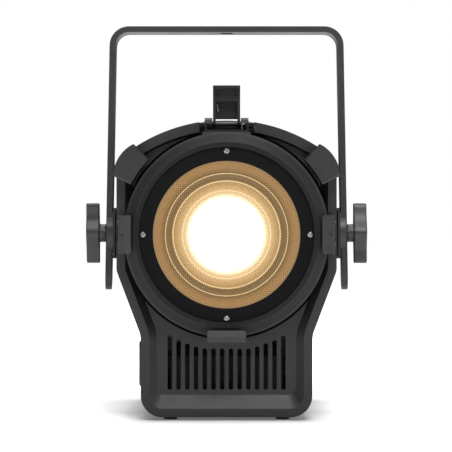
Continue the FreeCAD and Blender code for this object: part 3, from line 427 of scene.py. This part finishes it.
def finishes() -> dict[str, object]:
    """Return the finish of each material slot of the record."""
    axis_height = middle("fresnel_lens").z
    low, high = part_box("lens_plate")
    plate_radius = (high[0] - low[0]) / 2
    lens_radius = plate_radius - PLATE_WIDTH
    ring_radius = plate_radius + RING_WIDTH
    steel = (0.30, 0.30, 0.31)
    return {
        "housing_black": PowderCoat("housing_powder_coat", 0.010, roughness=0.46, specular=0.4,
                                    bump=0.5),
        # The ring's bevel tone is a painted highlight, lighter than its flat.
        "ring_black": TurnedCoat("ring_satin_coat_painted_highlight", 0.008, 0.014, ring_radius - BEVEL_WIDTH,
                                 ring_radius, axis_height),
        "plate_black": PowderCoat("plate_crackle_coat", 0.0035, roughness=0.8, grain=1100, bump=0.6,
                                  specular=0.1),
        "clip_steel": PowderCoat("clip_satin_coat", 0.010, roughness=0.38, bump=0.15),
        "yoke_steel": PowderCoat("yoke_powder_coat", 0.010, roughness=0.45),
        "bright_steel": BareMetal("zinc_plated_steel", steel),
        "brass": BareMetal("turned_brass", (0.75, 0.55, 0.25)),
        "raw_aluminium": BareMetal("milled_aluminium", (0.72, 0.72, 0.74), roughness=0.35),
        # Near black: partly the supply's own dark case, partly painted shade, so the view through
        # the vents reads dark.
        "supply_black": Moulded("supply_black_and_painted_shade", (0.006, 0.006, 0.006), roughness=0.8),
        "motor_steel": BareMetal("blackened_steel", (0.16, 0.16, 0.17), roughness=0.4),
        "lens_glass": LitLens("lit_fresnel_glass", lens_radius, axis_height),
        "rubber": Moulded("foot_rubber", (0.012, 0.012, 0.012), roughness=0.75, grain=900),
        "knob_plastic": Moulded("knob_plastic", (0.020, 0.020, 0.021), roughness=0.42),
        "socket_plastic": Moulded("socket_plastic", (0.015, 0.015, 0.018), roughness=0.3),
        "fan_plastic": Moulded("fan_plastic", (0.014, 0.014, 0.014), roughness=0.4),
        "circuit_board": Moulded("solder_mask", (0.02, 0.13, 0.05), roughness=0.3, bump=0.1),
        "display_glass": Moulded("display_glass", (0.006, 0.010, 0.016), roughness=0.1, bump=0.02),
        "emitter": Glowing("phosphor", (1.0, 0.82, 0.45), 2.0),
    }


SPECIAL = {
    "latch_arm": PowderCoat("latch_black_oxide", 0.007, roughness=0.45, specular=0.25, bump=0.6),
    "latch_bracket": PowderCoat("bracket_black_oxide", 0.005, roughness=0.45, specular=0.25),
    "latch_pin": BareMetal("dull_steel_pin", (0.10, 0.10, 0.10), 0.5, (60.0, 900.0, 900.0))}


class Wardrobe:
    """Builds each finish once and dresses nodes and pieces with it."""

    def __init__(self) -> None:
        """Build the materials of all the slots."""
        self.materials = {slot: finish.build() for slot, finish in finishes().items()}
        self.special = {name: finish.build() for name, finish in SPECIAL.items()}
        self.slots = {part["node"]: part["material_slot"] for part in frame["record"]["subparts"]}

    def dress_node(self, node: bpy.types.Object, name: str) -> None:
        """Give a CAD node the material of its slot.

        Args:
            node: the object of the CAD node.
            name: the node's name in the record.
        """
        material = self.special.get(name) or self.materials[self.slots[name]]
        if not node.material_slots:
            node.data.materials.append(material)
        for held in node.material_slots:
            held.material = material

    def dress_piece(self, piece: bpy.types.Object, slot: str, body: str) -> None:
        """Finish a new piece.

        Args:
            piece: the modelled object.
            slot: the record's material slot.
            body: the CAD body that it moves with.
        """
        piece.data.materials.clear()
        piece.data.materials.append(self.materials[slot])
        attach(piece, body)
        LOG.info("%s rides on %s", piece.name, body)


# --- modelling helpers --------------------------------------------------------------------------

SHARP = math.radians(50)
WELD = 0.005 * MM


def deselect() -> None:
    """Leave edit mode and deselect every object."""
    if bpy.context.mode != "OBJECT":
        bpy.ops.object.mode_set(mode="OBJECT")
    bpy.ops.object.select_all(action="DESELECT")


def settle(piece: bpy.types.Object, angle: float = 30.0) -> bpy.types.Object:
    """Apply a piece's place, clean its mesh and smooth it.

    Args:
        piece: the object.
        angle: the angle, in degrees, past which an edge stays sharp.

    Returns:
        The same object.
    """
    deselect()
    piece.select_set(True)
    bpy.context.view_layer.objects.active = piece
    bpy.ops.object.transform_apply(location=True, rotation=True, scale=True)
    bpy.ops.object.mode_set(mode="EDIT")
    bpy.ops.mesh.select_all(action="SELECT")
    bpy.ops.mesh.remove_doubles(threshold=WELD)
    bpy.ops.mesh.normals_make_consistent(inside=False)
    bpy.ops.object.mode_set(mode="OBJECT")
    bpy.ops.object.shade_smooth_by_angle(angle=math.radians(angle))
    return piece


def modify(piece: bpy.types.Object, kind: str, **settings: object) -> None:
    """Add a modifier, set it and apply it.

    Args:
        piece: the object.
        kind: the modifier's type name.
        settings: its properties, by name.
    """
    deselect()
    piece.select_set(True)
    bpy.context.view_layer.objects.active = piece
    modifier = piece.modifiers.new(kind.lower(), kind)
    for key, value in settings.items():
        setattr(modifier, key, value)
    bpy.ops.object.modifier_apply(modifier=modifier.name)


def join(pieces: list[bpy.types.Object], name: str) -> bpy.types.Object:
    """Join objects into one and name it.

    Args:
        pieces: the objects, one or more.
        name: the joined object's name.

    Returns:
        The joined object.
    """
    deselect()
    for piece in pieces:
        piece.select_set(True)
    bpy.context.view_layer.objects.active = pieces[0]
    if len(pieces) > 1:
        bpy.ops.object.join()
    joined = bpy.context.view_layer.objects.active
    joined.name = joined.data.name = name
    return joined


def cylinder(centre: Vector, radius: float, length: float, axis: Axis, sides: int = 48,
             bevel: float = 0.0) -> bpy.types.Object:
    """Add a cylinder with softened rims.

    Args:
        centre: its middle.
        radius: its radius.
        length: its length along the axis.
        axis: the axis that it follows.
        sides: how many sides it has.
        bevel: the width of its rims' bevel.

    Returns:
        The new object.
    """
    deselect()
    turns = {Axis.X: (0, math.pi / 2, 0), Axis.Y: (math.pi / 2, 0, 0), Axis.Z: (0, 0, 0)}
    bpy.ops.mesh.primitive_cylinder_add(vertices=sides, radius=radius, depth=length,
                                        location=centre, rotation=turns[axis])
    piece = bpy.context.object
    if bevel:
        modify(piece, "BEVEL", width=bevel, segments=3, limit_method="ANGLE", angle_limit=SHARP)
    return piece


def spin_profile(name: str, points: list[tuple[float, float]], centre: Vector,
                 steps: int = 128) -> bpy.types.Object:
    """Turn a profile about the lens axis.

    Args:
        name: the new object's name.
        points: (y, radius) pairs; y is a place in the frame.
        centre: a point on the axis.
        steps: how many sides the round has.

    Returns:
        The new object.
    """
    deselect()
    bpy.ops.mesh.primitive_circle_add(vertices=max(3, len(points)), radius=1)
    piece = bpy.context.object
    piece.name = piece.data.name = name
    bpy.ops.object.transform_apply(location=True, rotation=True, scale=True)
    for vertex, (depth, radius) in zip(piece.data.vertices, points):
        vertex.co = (centre.x + radius, depth, centre.z)
    bpy.ops.object.mode_set(mode="EDIT")
    bpy.ops.mesh.select_all(action="SELECT")
    bpy.ops.mesh.spin(steps=steps, angle=2 * math.pi, center=(centre.x, 0, centre.z),
                      axis=Axis.Y.value)
    bpy.ops.object.mode_set(mode="OBJECT")
    return settle(piece, 25.0)


# --- pieces -------------------------------------------------------------------------------------

@dataclass
class FresnelLens:
    """Pressed-glass lens: a dome, then many fine prism rings, with a stippled flat back."""

    fine_rings: int = 9
    dome_steps: int = 12
    dome_share: float = 0.58
    dome_rise: float = 3.2 * MM
    dome_inset: float = 0.2 * MM
    tooth: float = 1.1 * MM
    tooth_lean: float = 0.15 * MM
    rim_width: float = 4.5 * MM
    rim_depth: float = 3.9 * MM
    rim_slope: float = 0.3 * MM

    def profile(self) -> tuple[list[tuple[float, float]], Vector]:
        """Return the lens's closed half section and its centre."""
        low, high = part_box("fresnel_lens")
        centre = middle("fresnel_lens")
        edge = (high[2] - low[2]) / 2
        back, front = high[1], low[1]
        inner = edge * self.dome_share
        points = [(back, 0.0)]
        for step in range(self.dome_steps + 1):
            share = step / self.dome_steps
            points.append((front + self.dome_inset + self.dome_rise * share * share, inner * share))
        rings = [inner + (edge - self.rim_width - inner) * step / self.fine_rings
                 for step in range(self.fine_rings + 1)]
        base = front + self.dome_rise + self.dome_inset
        for start, end in zip(rings, rings[1:]):
            points += [(base - self.tooth, start + self.tooth_lean), (base, end)]
        rim = back - self.rim_depth
        return points + [(rim, rings[-1] + self.rim_slope), (rim, edge), (back, edge)], centre

    def build(self, wardrobe: Wardrobe) -> bpy.types.Object:
        """Model the lens and hang it in the housing.

        Args:
            wardrobe: the finishes to dress it from.

        Returns:
            The new object.
        """
        points, centre = self.profile()
        lens = spin_profile("stepped_lens", points, centre, 160)
        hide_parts("fresnel_lens")
        wardrobe.dress_piece(lens, "lens_glass", "housing")
        return lens


@dataclass
class PanScrews:
    """Domed cross-head screws that hold the lens plate."""

    head_radius: float = 2.9 * MM
    head_height: float = 1.6 * MM
    inset: float = 3.4 * MM
    count: int = 4
    cross: tuple[float, float, float] = (4.2 * MM, 2.2 * MM, 1.1 * MM)
    cross_depth: float = 1.4 * MM
    cross_turn: float = 0.4

    def one(self, centre: Vector) -> bpy.types.Object:
        """Model one head, looking along -Y.

        Args:
            centre: the middle of its flat back, on the plate's face.

        Returns:
            The new object.
        """
        deselect()
        bpy.ops.mesh.primitive_uv_sphere_add(segments=32, ring_count=16, radius=1,
                                             location=(0, 0, 0))
        head = bpy.context.object
        head.scale = (self.head_radius, self.head_height, self.head_radius)
        head.location = centre
        bpy.ops.object.transform_apply(location=True, rotation=True, scale=True)
        bpy.ops.object.mode_set(mode="EDIT")
        bpy.ops.mesh.select_all(action="SELECT")
        bpy.ops.mesh.bisect(plane_co=centre, plane_no=(0, 1, 0), use_fill=True, clear_outer=True)
        bpy.ops.object.mode_set(mode="OBJECT")
        for turn in (self.cross_turn, self.cross_turn + math.pi / 2):
            deselect()
            bpy.ops.mesh.primitive_cube_add(
                size=1, location=centre - Vector((0, self.cross_depth, 0)), rotation=(0, turn, 0))
            blade = bpy.context.object
            blade.scale = self.cross
            bpy.ops.object.transform_apply(location=False, rotation=True, scale=True)
            modify(head, "BOOLEAN", operation="DIFFERENCE", object=blade, solver="EXACT")
            bpy.data.objects.remove(blade)
        return settle(head, 35.0)

    def build(self, wardrobe: Wardrobe) -> bpy.types.Object:
        """Model all the screws as one piece.

        Args:
            wardrobe: the finishes to dress it from.

        Returns:
            The new object.
        """
        low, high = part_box("lens_plate")
        centre = middle("lens_plate")
        reach = (high[0] - low[0]) / 2 - self.inset
        heads = []
        for number in range(self.count):
            turn = 2 * math.pi * number / self.count
            place = centre + Vector((reach * math.cos(turn), 0, reach * math.sin(turn)))
            place.y = low[1]
            heads.append(self.one(place))
        screws = join(heads, "lens_screw_heads")
        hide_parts("lens_screws")
        wardrobe.dress_piece(screws, "bright_steel", "housing")
        return screws


@dataclass
class ClampKnob:
    """Two-winged knob swept to an S, with a round neck."""

    side: str
    hub_radius: float = 11.0 * MM
    tip_half: float = 3.8 * MM
    sweep: float = 4.2 * MM
    cap_start: float = 0.87
    outline_steps: int = 20
    neck_radius: float = 8.6 * MM
    neck_lap: float = 0.9 * MM
    neck_gap: float = 0.1 * MM
    wing_width: float = 12.7 * MM
    wing_bevel: float = 1.1 * MM
    disc_radius: float = 6.5 * MM
    disc_height: float = 0.7 * MM
    disc_inset: float = 0.4 * MM
    weld: float = 0.02 * MM

    def outline(self, reach: float) -> list[tuple[float, float]]:
        """Return the grip's outline.

        Args:
            reach: how far a wing's tip is from the axle.

        Returns:
            (y, z) points about the axle, going round once.
        """
        sign = 1 if self.side == "right" else -1
        points, steps = [], self.outline_steps
        for edge in (1, -1):
            for step in range(-steps, steps + 1):
                along = edge * step / steps
                hub = math.exp(-((along * reach / self.hub_radius) ** 2))
                half = self.tip_half + (self.hub_radius - self.tip_half) * hub
                past = max(0.0, (abs(along) - self.cap_start) / (1 - self.cap_start))
                cap = math.sqrt(max(0.0, 1 - past ** 2))
                lean = sign * self.sweep * math.copysign(abs(along) ** 1.5, along)
                points.append((lean + edge * half * cap, along * reach))
        return points

    def build(self, wardrobe: Wardrobe) -> bpy.types.Object:
        """Model the knob and put it on its stud.

        Args:
            wardrobe: the finishes to dress it from.

        Returns:
            The new object.
        """
        node = f"knob_{self.side}"
        low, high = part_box(node)
        centre, sign = middle(node), 1 if self.side == "right" else -1
        reach = (high[2] - low[2]) / 2
        points = self.outline(reach)
        inner = high[0] - self.wing_width if sign > 0 else low[0] + self.wing_width
        deselect()
        bpy.ops.mesh.primitive_circle_add(vertices=len(points), radius=1)
        grip = bpy.context.object
        for vertex, (along, up) in zip(grip.data.vertices, points):
            vertex.co = (inner, centre.y + along, centre.z + up)
        bpy.ops.object.mode_set(mode="EDIT")
        bpy.ops.mesh.select_all(action="SELECT")
        bpy.ops.mesh.remove_doubles(threshold=self.weld)
        bpy.ops.mesh.select_all(action="SELECT")
        bpy.ops.mesh.edge_face_add()
        bpy.ops.mesh.extrude_region_move(
            TRANSFORM_OT_translate={"value": (sign * self.wing_width, 0, 0)})
        bpy.ops.object.mode_set(mode="OBJECT")
        settle(grip)
        modify(grip, "BEVEL", width=self.wing_bevel, segments=3, limit_method="ANGLE",
               angle_limit=SHARP)
        neck_end = low[0] if sign > 0 else high[0]
        neck_length = abs(inner - neck_end) + self.neck_lap - self.neck_gap
        neck_place = inner - sign * (neck_length / 2 - self.neck_lap)
        neck = cylinder(Vector((neck_place, centre.y, centre.z)), self.neck_radius, neck_length,
                        Axis.X, bevel=0.5 * MM)
        disc_place = inner + sign * (self.wing_width - self.disc_inset)
        disc = cylinder(Vector((disc_place, centre.y, centre.z)), self.disc_radius,
                        self.disc_height, Axis.X, bevel=0.25 * MM)
        knob = settle(join([grip, neck, disc], f"clamp_knob_{self.side}"), 40.0)
        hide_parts(node)
        wardrobe.dress_piece(knob, "knob_plastic", node)
        return knob


@dataclass
class LatchSpring:
    """Torsion spring of flat strip wound round the latch's pin, with a round leg."""

    wire: float = 0.5 * MM
    turns: int = 4
    coil: float = 3.15 * MM
    wire_sides: int = 12
    turn_steps: int = 96

    def build(self, wardrobe: Wardrobe) -> bpy.types.Object:
        """Model the coil and its lower leg.

        Args:
            wardrobe: the finishes to dress it from.

        Returns:
            The new object.
        """
        low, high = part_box("latch_spring")
        pin = middle("latch_pin")
        start = low[0] + self.wire
        deselect()
        bpy.ops.mesh.primitive_circle_add(vertices=self.wire_sides, radius=self.wire,
                                          location=(start, pin.y, pin.z))
        spring = bpy.context.object
        bpy.ops.object.mode_set(mode="EDIT")
        bpy.ops.mesh.select_all(action="SELECT")
        bpy.ops.transform.translate(value=(0, 0, self.coil))
        pitch = (high[0] - low[0] - 2 * self.wire) / self.turns
        modify(spring, "SCREW", axis="X", angle=2 * math.pi * self.turns,
               screw_offset=pitch * self.turns, steps=self.turn_steps,
               render_steps=self.turn_steps, use_merge_vertices=False, use_normal_calculate=True)
        leg_length = pin.z - low[2]
        leg = cylinder(Vector((start + pitch, pin.y - self.coil, pin.z - leg_length / 2)),
                       self.wire, leg_length, Axis.Z, self.wire_sides)
        spring = settle(join([spring, leg], "latch_torsion_spring"), 40.0)
        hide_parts("latch_spring")
        wardrobe.dress_piece(spring, "bright_steel", "housing")
        return spring


@dataclass
class SpringEnd:
    """The spring's upper leg, which leans on the inside of the latch arm's left wall."""

    wire: float = 0.55 * MM
    across: float = -8.2 * MM
    rise: float = 14.0 * MM
    reach: float = 2.6 * MM
    length: float = 6.5 * MM
    lean: float = math.radians(-12)

    def build(self, wardrobe: Wardrobe) -> bpy.types.Object:
        """Model the leg and fix it to the latch.

        Args:
            wardrobe: the finishes to dress it from.

        Returns:
            The new object.
        """
        pin = middle("latch_pin")
        place = Vector((self.across, pin.y - self.reach, pin.z + self.rise))
        leg = cylinder(place, self.wire, self.length, Axis.Z, 16, 0.2 * MM)
        leg.rotation_euler.y = self.lean
        leg.name = leg.data.name = "latch_spring_upper_leg"
        settle(leg, 40.0)
        wardrobe.dress_piece(leg, "bright_steel", "latch")
        return leg


@dataclass(frozen=True)
class Lamp:
    """A square soft lamp that is aimed at the lens."""

    name: str
    place: tuple[float, float, float]
    size: float
    power: float


@dataclass
class Studio:
    """Pale floor, soft light and the camera."""

    distance: float = 1.9
    frame_width: float = 0.409
    sensor: float = 36.0
    shift: tuple[float, float] = (-0.0013, 0.0192)
    near_glow: float = 0.26
    far_glow: float = 0.85
    glow_start: float = 0.18
    glow_end: float = 0.7
    sky: float = 0.24
    # Painted contact shadow: its darkest grey, and how far it reaches.
    contact: float = 0.50
    contact_reach: float = 0.1
    floor_size: float = 30.0
    side_inset: float = 0.035
    front_inset: float = 0.004
    lamps: tuple[Lamp, ...] = (
        Lamp("key", (0.25, -1.75, 2.1), 1.0, 46.0), Lamp("top", (0.0, 0.35, 2.0), 1.1, 36.0),
        Lamp("side_right", (1.4, -0.9, 0.6), 0.8, 4.0),
        Lamp("low_left", (-0.9, -1.6, 0.05), 0.9, 2.5))

    def painted_contact_shadow(self, nodes: Nodes) -> bpy.types.NodeSocket:
        """Paint a soft shadow on the paper where the lamp's front stands over it.

        Args:
            nodes: the floor's material.

        Returns:
            The paper's colour, darkened by the painted shadow.
        """
        low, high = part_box("front_housing")
        split = nodes.add("ShaderNodeSeparateXYZ")
        nodes.link(nodes.place, split.inputs[0])
        away = []
        for name, half in (("X", (high[0] - low[0]) / 2 - self.side_inset),
                           ("Y", -low[1] - self.front_inset)):
            reach = nodes.math("SUBTRACT", nodes.math("ABSOLUTE", split.outputs[name]), half)
            past = nodes.math("MAXIMUM", reach, 0.0)
            away.append(nodes.math("MULTIPLY", past, past))
        gap = nodes.math("SQRT", nodes.math("ADD", *away))
        blur = nodes.math("MULTIPLY", nodes.noise(3.0), 0.02)
        share = nodes.math("ADD", nodes.math("DIVIDE", gap, self.contact_reach), blur)
        # Painted shadow: darkest beside the housing's front and sides, fading to near white.
        return nodes.ramp(share, [(0.0, (self.contact,) * 3), (0.15, (0.75,) * 3),
                                  (0.35, (0.95,) * 3)])

    def floor(self) -> None:
        """Add the floor that the lamp stands on."""
        deselect()
        bpy.ops.mesh.primitive_plane_add(size=self.floor_size, location=(0, 0, 0))
        ground = bpy.context.object
        ground.name = "studio_floor"
        nodes = Nodes("studio_paper")
        tint = self.painted_contact_shadow(nodes)
        # The painted shadow darkens both the paper's colour and its glow.
        nodes.link(tint, nodes.shader.inputs["Base Color"])
        nodes.link(tint, nodes.shader.inputs["Emission Color"])
        spread = nodes.add("ShaderNodeVectorMath", operation="LENGTH")
        nodes.link(nodes.place, spread.inputs[0])
        fade = nodes.add("ShaderNodeMapRange")
        for name, value in (("From Min", self.glow_start), ("From Max", self.glow_end),
                            ("To Min", self.near_glow), ("To Max", self.far_glow)):
            fade.inputs[name].default_value = value
        nodes.link(spread.outputs["Value"], fade.inputs["Value"])
        nodes.link(fade.outputs[0], nodes.shader.inputs["Emission Strength"])
        nodes.shader.inputs["Roughness"].default_value = 0.9
        nodes.shader.inputs["Specular IOR Level"].default_value = 0.1
        ground.data.materials.append(nodes.material)

    def world(self) -> None:
        """Light the scene evenly, with a white backdrop."""
        world = bpy.data.worlds.new("studio")
        world.use_nodes = True
        tree = world.node_tree
        tree.nodes.clear()
        output = tree.nodes.new("ShaderNodeOutputWorld")
        mix = tree.nodes.new("ShaderNodeMixShader")
        path = tree.nodes.new("ShaderNodeLightPath")
        soft, white = (tree.nodes.new("ShaderNodeBackground") for _ in range(2))
        soft.inputs["Strength"].default_value = self.sky
        white.inputs["Strength"].default_value = 1.0
        for background in (soft, white):
            background.inputs["Color"].default_value = (1, 1, 1, 1)
        tree.links.new(path.outputs["Is Camera Ray"], mix.inputs[0])
        tree.links.new(soft.outputs[0], mix.inputs[1])
        tree.links.new(white.outputs[0], mix.inputs[2])
        tree.links.new(mix.outputs[0], output.inputs[0])
        bpy.context.scene.world = world

    def lights(self) -> None:
        """Add the soft lamps, each aimed at the lens."""
        aim = middle("front_ring")
        for lamp in self.lamps:
            data = bpy.data.lights.new(lamp.name, "AREA")
            data.energy, data.size = lamp.power, lamp.size
            light = bpy.data.objects.new(lamp.name, data)
            light.location = lamp.place
            light.rotation_euler = (aim - Vector(lamp.place)).to_track_quat("-Z", "Y").to_euler()
            bpy.context.scene.collection.objects.link(light)

    def camera(self) -> None:
        """Add the camera, level with the lens axis and square to the front."""
        data = bpy.data.cameras.new("camera")
        data.sensor_width = self.sensor
        data.lens = self.sensor * self.distance / self.frame_width
        data.shift_x, data.shift_y = self.shift
        camera = bpy.data.objects.new("camera", data)
        low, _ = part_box("front_ring")
        camera.location = (0, low[1] - self.distance, middle("fresnel_lens").z)
        camera.rotation_euler = (math.pi / 2, 0, 0)
        bpy.context.scene.collection.objects.link(camera)
        bpy.context.scene.camera = camera

    def build(self) -> None:
        """Set the whole stage."""
        self.camera()
        self.floor()
        self.world()
        self.lights()
        bpy.context.scene.view_settings.view_transform = "Standard"


def main() -> None:
    """Build the stage, dress the CAD nodes and model the fine pieces."""
    logging.basicConfig(level=logging.INFO)
    Studio().build()
    wardrobe = Wardrobe()
    for name, node in frame["nodes"].items():
        wardrobe.dress_node(node, name)
    for piece in (FresnelLens(), PanScrews(), ClampKnob("left"), ClampKnob("right"), LatchSpring(),
                  SpringEnd()):
        made = piece.build(wardrobe)
        LOG.info("%s: %d faces", made.name, len(made.data.polygons))


if __name__ == "__main__":
    main()
